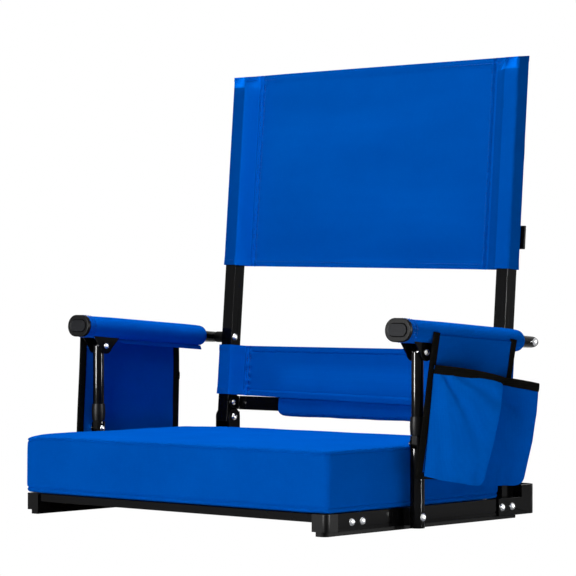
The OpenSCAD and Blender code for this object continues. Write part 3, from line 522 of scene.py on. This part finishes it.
def sling(span, depth, seed, sag, over=0.0):
    """The cloth between the sleeves, flush with their rear, drawn into short puckers along the seams."""
    t0, t1, seams, drop, rise = span
    edge = POST - WRAP - 0.4
    # Close columns along the seams, where the cloth puckers
    x = np.r_[np.linspace(-edge, -edge + 28, 25), np.linspace(-edge + 28, edge - 48, 44)[1:-1],
              np.linspace(edge - 48, edge, 43)]
    t = np.r_[t0, t0 + 1.2, np.linspace(t0 + 3, t1 - 3, 70), t1 - 1.2, t1]
    gx, gt = np.meshgrid(x, t)
    inner = edge - np.abs(gx)
    seam = np.where(gx < 0, seams[0], seams[1])
    y = np.full(gx.shape, WRAP - 0.25)
    # Seam: a groove with a raised lip, crossed by puckers
    y -= 1.4 * np.exp(-((inner - seam - 0.6) / 1.4) ** 2)
    y += 1.6 * np.exp(-((inner - seam - 3.6) / 1.3) ** 2)
    y -= 0.9 * np.exp(-((inner - seam - 6.0) / 1.6) ** 2)
    pucker = np.sin(gt / 1.9 + 2.2 * np.sin(gt / 13 + seed)) * np.exp(-((inner - seam - 4.5) / 5.5) ** 2)
    y += 0.75 * pucker
    # Long shallow drapes across, and the slack in the middle
    points = np.stack([gx * 0.22, y, gt], -1)
    y += rumple(points, 60, depth, seed) * ease((inner - seam) / 60)
    y -= sag * np.sin(math.pi * (gx + edge) / (2 * edge)) * 0.5
    # Where the lower edge hangs over the bar behind it, it lies on the bar's front
    y -= over * ease((165 - np.abs(gx)) / 40 + 0.5) * ease((t0 + 50 - gt) / 44)
    # Hems at the top and bottom, a double layer 8 mm deep
    hem = np.minimum(gt - t0, t1 - gt)
    y -= 0.6 * ease((9.2 - hem) / 1.2) - 0.5 * np.exp(-((hem - 8.4) / 0.8) ** 2)
    return np.stack([gx, y, hang(gx, gt, t0, t1, drop, rise)], -1)


make("back_sling", [cloth(on_back(sling(PANEL, 2.4, 2.3, 1.2)), 1.3)] +
     [sleeve(side, PANEL, POST_END, 1.7 * side) for side, _ in SIDES],
     oxford_taut, "back", ["back_panel"], sharp=50)
make("lumbar_sling", [cloth(on_back(sling(LUMBAR, 0.8, 9.1, 0.6, over=6.4)), 1.3)] +
     [sleeve(side, LUMBAR, LUMBAR[1], 4.4 * side) for side, _ in SIDES],
     oxford_taut, "back", ["lumbar_strip"], sharp=50)

# Painted shade and painted light on the cloth where it turns round the posts: a darker or lighter copy of the
# cloth, by the way a face points and how far out from the post it lies
PAINTED_SHADE, PAINTED_LIGHT = 1, 2
SLEEVE_END = 0.608      # height in metres above which the front of a sleeve's empty end gets painted light
for name in ("back_sling", "lumbar_sling"):
    mesh = bpy.data.objects[name].data
    mesh.materials.append(oxford_painted_shade)
    mesh.materials.append(oxford_painted_light)
    tall = name == "back_sling"
    for face in mesh.polygons:
        x, y, _ = face.normal
        out = abs(face.center.x) / MM - POST
        on_left = face.center.x < 0
        if not -46 < out < 16:
            continue
        # Painted light on the fronts of the panel's empty sleeve ends and on the left sleeves' inner sides;
        # painted shade on the left panel sleeve's front and on the right sleeves' inner sides
        if tall and face.center.z > SLEEVE_END and out > -24 and y < -0.1:
            face.material_index = PAINTED_LIGHT
        elif on_left and tall and y < -0.93 and out > -9.5:
            face.material_index = PAINTED_SHADE
        elif on_left and x > 0.55:
            face.material_index = PAINTED_LIGHT
        elif not on_left and x < -0.3 and y < -0.3:
            face.material_index = PAINTED_SHADE


def sewn(span, x, y, t, pitch=4.2):
    """A row of stitches on the front of a span's cloth at that depth and height, hung as the cloth is."""
    t0, t1, _, drop, rise = span
    line = np.stack([x, np.full(x.shape, y), hang(x, np.full(x.shape, t), t0, t1, drop, rise)], -1)
    return stitches(on_back(line), (0, -1, 0.08), pitch)


def back_rows():
    """Stitching of the sling: double rows beside the sleeves and a row along each hem."""
    rows = []
    edge = POST - WRAP
    for span in (PANEL, LUMBAR):
        t0, t1, seams = span[:3]
        full_height = np.linspace(t0 + 3, t1 - 3, 40)
        hems = (t0 + HEM, t1 - HEM)
        for side, _ in SIDES:
            for inner in (seams[side > 0] + 2.0, seams[side > 0] + 8.0):
                rows.append(sewn(span, np.full(40, side * (edge - inner)), WRAP - 1.35, full_height))
            # Across the sleeve's front at each hem; the panel's sleeves have none at their empty ends
            for height in hems[:1] if span is PANEL else hems:
                rows.append(sewn(span, side * POST + np.linspace(-10, 10, 16), -WRAP - 1.1, height))
        if span is PANEL:
            for height in hems:
                rows.append(sewn(span, np.linspace(-edge + 18, edge - 18, 60), WRAP - 1.9, height, pitch=5))
    return rows


rows = make("back_stitching", back_rows(), thread_blue, "back", sharp=0)


def build_grip():
    """Padded wrap round the crossbar, drawn in at both ends."""
    behind, height = 20, 18.9                   # middle of the wrap behind and up the posts
    half_y, half_t, r = 13.0, 14.7, 5.5
    rings = []
    for x in np.r_[-160, -159, -156, np.linspace(-150, 150, 26), 156, 159, 160]:
        end = max(0.0, (abs(x) - 150) / 10)
        outline = []
        for c, (sx, sy) in enumerate(CORNERS):
            for k in range(6):
                a = math.radians(90 * c + 18 * k)
                outline.append((sx * (half_y - r) + r * math.cos(a), sy * (half_t - r) + r * math.sin(a)))
        outline = np.array(outline) * (1 - 0.09 * end ** 2)
        outline[:, 1] += np.where(outline[:, 1] < 0, 3.5 * end ** 2, 0)
        rings.append(np.c_[np.full(len(outline), x), outline[:, 0] + behind, outline[:, 1] + height])
    grid = np.array(rings)
    swell = rumple(grid, 34, 0.8, 6.1) - 0.35 * np.cos(grid[..., 0] / 11.0) ** 8
    grid += (grid - [0, behind, height]) * [0, 1, 1] / 14 * swell[..., None]
    return skin(on_back(grid))


grip = make("carry_grip_wrap", [build_grip()], oxford, "back", ["grip_sleeve"],
            sharp=60, rounds=1)


STRAP_X = 246.0                 # middle of a carrying strap
STRAP_LOW, STRAP_TOP = 233, 470
STRAP_TACKS = (236, 240, 463, 467)


def strap_line(t):
    """Distance of the strap behind the posts' middle line: flat on the panel at both ends, slack between them."""
    up = np.clip((t - 290) / 180, 0, 1)
    return 13.1 + 7 * np.sin(math.pi * up) ** 2 + 1.0


for side, word in SIDES:
    t = np.linspace(STRAP_LOW, STRAP_TOP, 60)
    line = on_back(np.stack([np.full(60, side * STRAP_X), strap_line(t), t], -1))
    strap = make("carry_strap_webbing_" + word, [tape(line, (1, 0, 0), 25, 1.9)], webbing, "back",
                 ["carry_strap_" + word], sharp=50)
    rows = []
    for height in STRAP_TACKS:
        x = side * STRAP_X + np.linspace(-11, 11, 12)
        face = np.full(12, strap_line(height) + 0.95)
        rows.append(stitches(on_back(np.stack([x, face, np.full(12, height)], -1)), (0, 1, 0), pitch=3.6))
    tacks = make("strap_tacks_" + word, rows, webbing, "back", sharp=0)


# ---------------------------------------------------------------- armrests

def oval_outline(w, h, n=40):
    """Flat oval of width w and height h; the points run round it evenly by angle."""
    a = np.linspace(0, 2 * math.pi, n, endpoint=False)
    return np.c_[(w - h) / 2 * np.tanh(4 * np.cos(a)) / np.tanh(4) + h / 2 * np.cos(a), h / 2 * np.sin(a)]


PAD_FRONT, PAD_REAR = -267, -24     # ends of a pad along the armrest, behind its rear pivot
PAD_WIDTH, PAD_HEIGHT = 41.5, 30.6


def build_pad(side):
    """Foam sleeve over the bar, drawn in at the front stitching and closed round at the rear."""
    stations = np.r_[PAD_FRONT, -266.2, -264, -260, -257, -255.5, -254, -250, np.linspace(-244, -44, 30),
                     -38, -33, -29.5, -27, -25.4, -24.4, PAD_REAR]
    rings = []
    for s in stations:
        rear = max(0.0, (s + 38) / 14)
        shrink = 1 - 0.26 * rear ** 3.5
        front = -0.7 * math.exp(-((s + 255.5) / 1.2) ** 2) - 0.7 * math.exp(-((s + 261) / 1.2) ** 2)
        swell = 0.4 * math.sin(math.pi * (s - PAD_FRONT) / (PAD_REAR - PAD_FRONT))
        w, h = PAD_WIDTH * shrink + 2 * (front + swell), PAD_HEIGHT * shrink + 2 * (front + swell)
        outline = oval_outline(max(w, h + 0.5), h)
        rings.append(np.c_[outline[:, 0], np.full(len(outline), s), outline[:, 1]])
    grid = np.array(rings)
    outwards = np.stack([np.sign(grid[..., 0]), 0 * grid[..., 0], np.sign(grid[..., 2])], -1)
    grid += outwards * rumple(grid * [1, 0.6, 1], 26, 0.35, 3.3 + side)[..., None]
    # A long seam low on the outer side, where the bag hangs
    turn = np.degrees(np.arctan2(grid[..., 2], grid[..., 0]))
    groove = np.exp(-((turn + 38) / 3.5) ** 2) * ((grid[..., 1] > -232) & (grid[..., 1] < -50))
    grid[..., 0] -= 0.8 * groove
    grid[..., 2] += 0.6 * groove
    return skin(on_arm(grid, side))


for side, word in SIDES:
    body = "armrest_" + word
    pad = make("armrest_pad_" + word, [build_pad(side)], oxford, body, ["arm_pad_" + word],
               sharp=70)
    rows = []
    # Two rows round the front end, and one along the seam where the bag hangs
    for s in (-263.2, -257.6):
        outline = oval_outline(42.2, 31.4, 60)
        ring = np.c_[outline[:, 0], np.full(60, s), outline[:, 1]]
        ring = np.concatenate([ring, ring[:1]])
        out = on_arm(ring + np.c_[ring[:, 0], 0 * ring[:, 0], ring[:, 2]] * 0.1, side) - on_arm(ring, side)
        rows.append(stitches(on_arm(ring, side), out, pitch=3.6, length=2.6))
    s = np.linspace(-228, -54, 60)
    line = on_arm(np.stack([np.full(60, 20.7), s, np.full(60, -5.5)], -1), side)
    rows.append(stitches(line, (side, 0, 0.3), pitch=4.4))
    make("armrest_stitching_" + word, rows, thread_blue, body, sharp=0)
    # Seam allowance of the pad's cover, sewn shut below
    s = np.linspace(-215, -30, 50)
    drop = np.linspace(0, 1, 5)
    gs, gd = np.meshgrid(s, drop)
    fin = np.stack([-9 + 1.2 * np.sin(gs / 23) * gd - 1.5 * gd, gs, -15.0 - 5.5 * gd * ease((gs + 215) / 25)], -1)
    flange = make("armrest_seam_flange_" + word, [cloth(on_arm(fin, side), 1.4)], oxford, body,
                  sharp=60)
    # The flap gets its own copy of the mesh; the point at its root is worked out but not used
    root = on_arm(np.array([-9, -120, -14.6]), side) * MM
    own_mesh(flange)


# ---------------------------------------------------------------- side bags

# In the armrest's frame
PANEL_X = 22.3       # the hanging panel, outside the pad
SPLIT = -115         # between the front pocket and the rear one
DROP = -184          # lower edge of the panel
# Each bag's front edge at the seam and at the bottom, its rear edge the same way, and its inward swing in degrees
CUTS = {1: (-220, -230.5, -57, -62, 3.6), -1: (-240, -243, -51, -49, 2.4)}


def panel_edges(side, n):
    """Front and rear edge of the hanging panel at a height below the seam."""
    front0, front1, rear0, rear1 = CUTS[side][:4]
    down = np.clip(np.asarray(n, float) / DROP, 0, 1)
    return front0 + (front1 - front0) * down, rear0 + (rear1 - rear0) * np.minimum(1, down * 3)


def pocket(y0, y1, rims, lows, reach, seed, swell, narrow):
    """One pocket's outer cloth: flat at its front seam, fullest at the rear corner, then back to the panel.

    y0 and y1 are its front and rear edge, rims the height of its rim at both, and lows the height of its bottom
    at the front, near it and at the rear. reach says how far it stands out at which share of the height, swell
    how late along its length, and narrow how far forward its edges lie at the bottom.
    """
    u = np.r_[np.linspace(0, 1, 34), 1 + np.linspace(0, 1, 12)[1:]]
    w = np.r_[np.linspace(-1, 0, 8)[:-1], np.linspace(0, 0.12, 6), np.linspace(0.12, 1, 34)[1:]]
    gu, gw = np.meshgrid(u, w)
    face, turn = np.minimum(gu, 1), np.clip(gu - 1, 0, 1)
    up, under = np.clip(gw, 0, 1), np.clip(-gw, 0, 1)
    full = np.interp(up, *reach)
    x = full * (0.12 * ease(face * 8) + 0.88 * face ** swell)
    if swell < 1:
        x += 3.5 * np.sin(math.pi * face) * (1 - 0.5 * up)
    # The rear corner is round, and both edges lie further forward towards the bottom
    x *= np.cos(0.5 * math.pi * turn) ** 0.8 * (1 - 0.08 * np.clip((face - 0.8) / 0.2, 0, 1) ** 2)
    y = y0 + (y1 - y0) * face + 2.5 * np.sin(0.5 * math.pi * turn)
    y -= (narrow[0] * (1 - face) + narrow[1] * face) * (1 - up)
    low = np.interp(face, (0, 0.25, 1), lows) + 9 * np.clip((face - 0.84) / 0.16, 0, 1) ** 2.2
    rim = rims[0] + (rims[1] - rims[0]) * face + 2.0 * np.sin(math.pi * face)
    z = low + (rim - low) * up
    # The bottom folds back under to the panel
    x = x * np.cos(0.5 * math.pi * under)
    z = z + (3.5 + 0.12 * full) * np.sin(0.5 * math.pi * under) - 1.2 * np.sin(math.pi * under)
    y = y - 4 * under * face
    # Creases that run down and back from the top front corner, and gathers above the bottom hem
    tall = (1 - up) * (rims[0] - lows[0])
    wide = (y - y0) + 1e-6
    reach_to, turn_of = np.hypot(tall, wide), np.arctan2(tall, wide)
    fan = np.sin(turn_of * 11 + seed) + 0.5 * np.sin(turn_of * 23 + 2 * seed)
    fan *= np.exp(-reach_to / 110) * ease(reach_to / 25)
    gather = np.cos(face * 7 * math.pi + 3 * np.sin(seed + 4 * face)) * np.exp(-up * 6) * ease(up * 20)
    # All of it fades out towards the sewn edges
    live = ease(face / 0.08) * ease((1 - face) / 0.06 + 0.15) * (1 - under) * ease((1 - up) / 0.12)
    x += live * (2.6 * fan + 1.3 * gather)
    spots = np.stack([x, y, z], -1)
    x += live * rumple(spots, 38, 3.0, seed) + live * rumple(spots, 15, 0.7, seed + 4)
    return np.stack([PANEL_X + 2.2 + np.maximum(x, 0.4), y, z], -1)


for side, word in SIDES:
    body = "armrest_" + word
    swing = CUTS[side][4]
    n = np.linspace(DROP + 1, -3, 34)
    u = np.linspace(0, 1, 30)
    front, rear = panel_edges(side, n)
    gs = front[:, None] + 1 + (rear - front - 2)[:, None] * u
    gn = np.repeat(n[:, None], 30, 1)
    ripple = rumple(np.stack([gs, gn, 0 * gs], -1), 45, 1.6, 5.5 * side) * ease((-4 - gn) / 40)
    hung = on_bag(np.stack([PANEL_X + ripple * 0.5, gs, gn], -1), side, swing)
    panel = make("bag_panel_cloth_" + word, [cloth(hung, 1.5)], oxford, body, ["bag_panel_" + word],
                 sharp=60)
    pocket_front = panel_edges(side, -120)[0] + 5
    cuts = {
        "front": pocket(pocket_front, SPLIT - 2, (-42, -50), (-185, -189, -195),
                        ((0, 0.4, 0.7, 1), (22, 32, 36.5, 35)), 0.7 + side, 0.85, (0, 6)),
        "rear": pocket(SPLIT - 1, -42, (-52, -55), (-190, -196, -191),
                       ((0, 0.4, 0.7, 1), (26, 35, 38, 37)), 2.9 + side, 1.9, (6, 0)),
    }
    bands, pockets = [], []
    for which, grid in cuts.items():
        # The front pocket takes the lighter copy of the cloth, as painted light
        pockets.append(make("bag_%s_pocket_%s" % (which, word), [cloth(on_bag(grid, side, swing), 1.3)],
                            painted_light_pocket_oxford if which == "front" else oxford, body,
                            ["%s_pocket_%s" % (which, word)], sharp=60))
        # Grosgrain folded over the pocket's rim
        line = grid[-1] - [0, 0, 5.2]
        rim_line = on_bag(line, side, swing)
        bands.append(tape(rim_line, on_bag(line + [0, 0, 1], side, swing) - rim_line, 12, 3.4))
    rim = make("bag_rim_binding_" + word, bands, binding, body, sharp=50)
    # and over the panel's front, rear and lower edges
    edges = []
    n = np.linspace(0.5, DROP - 1.5, 30)
    for y in panel_edges(side, n):
        line = np.stack([np.full(30, PANEL_X), y, n], -1)
        line[:, 0] += 0.5 * np.sin(line[:, 2] / 29)
        edges.append(tape(on_bag(line, side, swing), (0, 1, 0), 12.5, 3.6))
    front, rear = panel_edges(side, DROP)
    line = np.stack([np.full(30, PANEL_X), np.linspace(front - 4, rear + 4, 30), np.full(30, DROP - 0.5)], -1)
    edges.append(tape(on_bag(line, side, swing), (0, 0, 1), 9, 3.2))
    edging = make("bag_edge_binding_" + word, edges, binding, body, sharp=50)
    # A pocket's cloth also covers its rear side and its bottom
    # Each piece gets its own copy of the mesh; the anchor below the seam is worked out but not used
    anchor = on_arm(np.array([SEAM_X, -140, -10.0]), side) * MM
    for piece in (panel, *pockets, rim, edging):
        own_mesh(piece)


# ---------------------------------------------------------------- rigid parts

FINISHES = {
    "powder_coated_steel": powder_coat, "black_plastic": moulded_black, "grey_plastic": moulded_grey,
    "zinc_steel": zinc_plate, "birch_plywood": birch, "black_webbing": webbing, "blue_oxford_cloth": oxford,
}
# Radius of the edges of each part that shows them, in millimetres
ROUNDED = {"rail": 1.2, "back_post": 2.2, "back_crossbar": 1.4, "front_crossbar": 1.0, "rear_crossbar": 1.0,
           "corner_cap": 1.0, "foot_strip": 0.7, "rear_corner": 0.5, "hinge_bracket": 0.5, "arm_clevis": 0.4,
           "arm_cap": 1.6, "arm_plug": 1.0, "post_plugs": 0.6, "stub_spacers": 1.0, "strap_sliders": 0.5,
           "arm_stub": 0.4, "arm_post": 0.4, "knuckle": 0.5, "arm_bar": 0.5}
for row in frame["record"]["subparts"]:
    node = nodes[row["node"]]
    node.data.materials.clear()
    node.data.materials.append(FINISHES[row["material_slot"]])
    stem = row["node"].replace("_left", "").replace("_right", "")
    if stem in ROUNDED:
        # The CAD's faces come apart at the edges, and only joined ones can be rounded
        weld = node.modifiers.new("joined_faces", "WELD")
        weld.merge_threshold = 1e-5
        edge = node.modifiers.new("edges", "BEVEL")
        edge.width = ROUNDED[stem] * MM
        edge.segments = 6 if stem == "back_post" else 3
        edge.limit_method = "ANGLE"
        edge.angle_limit = math.radians(50)
        edge.use_clamp_overlap = True


# ---------------------------------------------------------------- light and floor

world = bpy.data.worlds.new("studio")
bpy.context.scene.world = world
world.use_nodes = True
tree = world.node_tree
seen = add(tree, "ShaderNodeLightPath")
# White wherever it is seen, reflected or seen through something, and dim where it lights the object
direct = add(tree, "ShaderNodeMath", {"operation": "MAXIMUM"},
             {0: seen.outputs["Is Camera Ray"], 1: seen.outputs["Is Transmission Ray"]})
either = add(tree, "ShaderNodeMath", {"operation": "MAXIMUM"},
             {0: direct.outputs["Value"], 1: seen.outputs["Is Glossy Ray"]})
room = add(tree, "ShaderNodeBackground", {"Color": (1, 1, 1, 1), "Strength": 0.12})
white = add(tree, "ShaderNodeBackground", {"Color": (1, 1, 1, 1), "Strength": 1.0})
mixed = add(tree, "ShaderNodeMixShader", {},
            {0: either.outputs["Value"], 1: room.outputs[0], 2: white.outputs[0]})
tree.links.new(tree.nodes["World Output"].inputs["Surface"], mixed.outputs[0])

FLOOR_HALF, FLOOR_Z = 6, -0.0005       # in metres; just under the feet
floor_mesh = bpy.data.meshes.new("studio_floor")
floor_mesh.from_pydata([(x * FLOOR_HALF, y * FLOOR_HALF, FLOOR_Z) for x, y in CORNERS], [], [(0, 1, 2, 3)])
floor = bpy.data.objects.new("studio_floor", floor_mesh)
bpy.context.scene.collection.objects.link(floor)
paper = bpy.data.materials.new("white_paper_sweep")
paper.use_nodes = True
tree = paper.node_tree
paper_surface = tree.nodes["Principled BSDF"]
paper_surface.inputs["Base Color"].default_value = (0.75, 0.75, 0.75, 1)
paper_surface.inputs["Roughness"].default_value = 0.9
paper_surface.inputs["Specular IOR Level"].default_value = 0.1
seen = add(tree, "ShaderNodeLightPath")
bare = add(tree, "ShaderNodeEmission", {"Color": (1, 1, 1, 1), "Strength": 1.0})
shown = add(tree, "ShaderNodeMixShader", {},
            {0: seen.outputs["Is Camera Ray"], 1: paper_surface.outputs[0], 2: bare.outputs[0]})
tree.links.new(tree.nodes["Material Output"].inputs["Surface"], shown.outputs[0])
floor_mesh.materials.append(paper)


def softbox(name, place, target, size, power):
    """A rectangular area lamp, width by height in metres and power in watts, that looks at a point."""
    data = bpy.data.lights.new(name, "AREA")
    data.shape, data.size, data.size_y, data.energy = "RECTANGLE", size[0], size[1], power
    lamp = bpy.data.objects.new(name, data)
    bpy.context.scene.collection.objects.link(lamp)
    lamp.location = place
    lamp.rotation_euler = (Vector(target) - Vector(place)).to_track_quat("-Z", "Y").to_euler()
    return lamp


softbox("key_front", (0.6, -2.55, 1.3), (0, 0, 0.25), (1.2, 0.9), 27)
softbox("top_light", (-0.1, 0.0, 2.2), (0, 0, 0.2), (1.2, 1.2), 53)
# Tall narrow lamps that only show as lines along the glossy tubes and rounded corners
for name, place in (("strip_front", (-0.57, -2.66, 0.4)), ("strip_right", (2.57, 0.83, 0.4))):
    strip = softbox(name, place, (0, 0, 0.35), (0.45, 1.5), 760)
    strip.visible_diffuse = False

bpy.context.scene.view_settings.view_transform = "Standard"
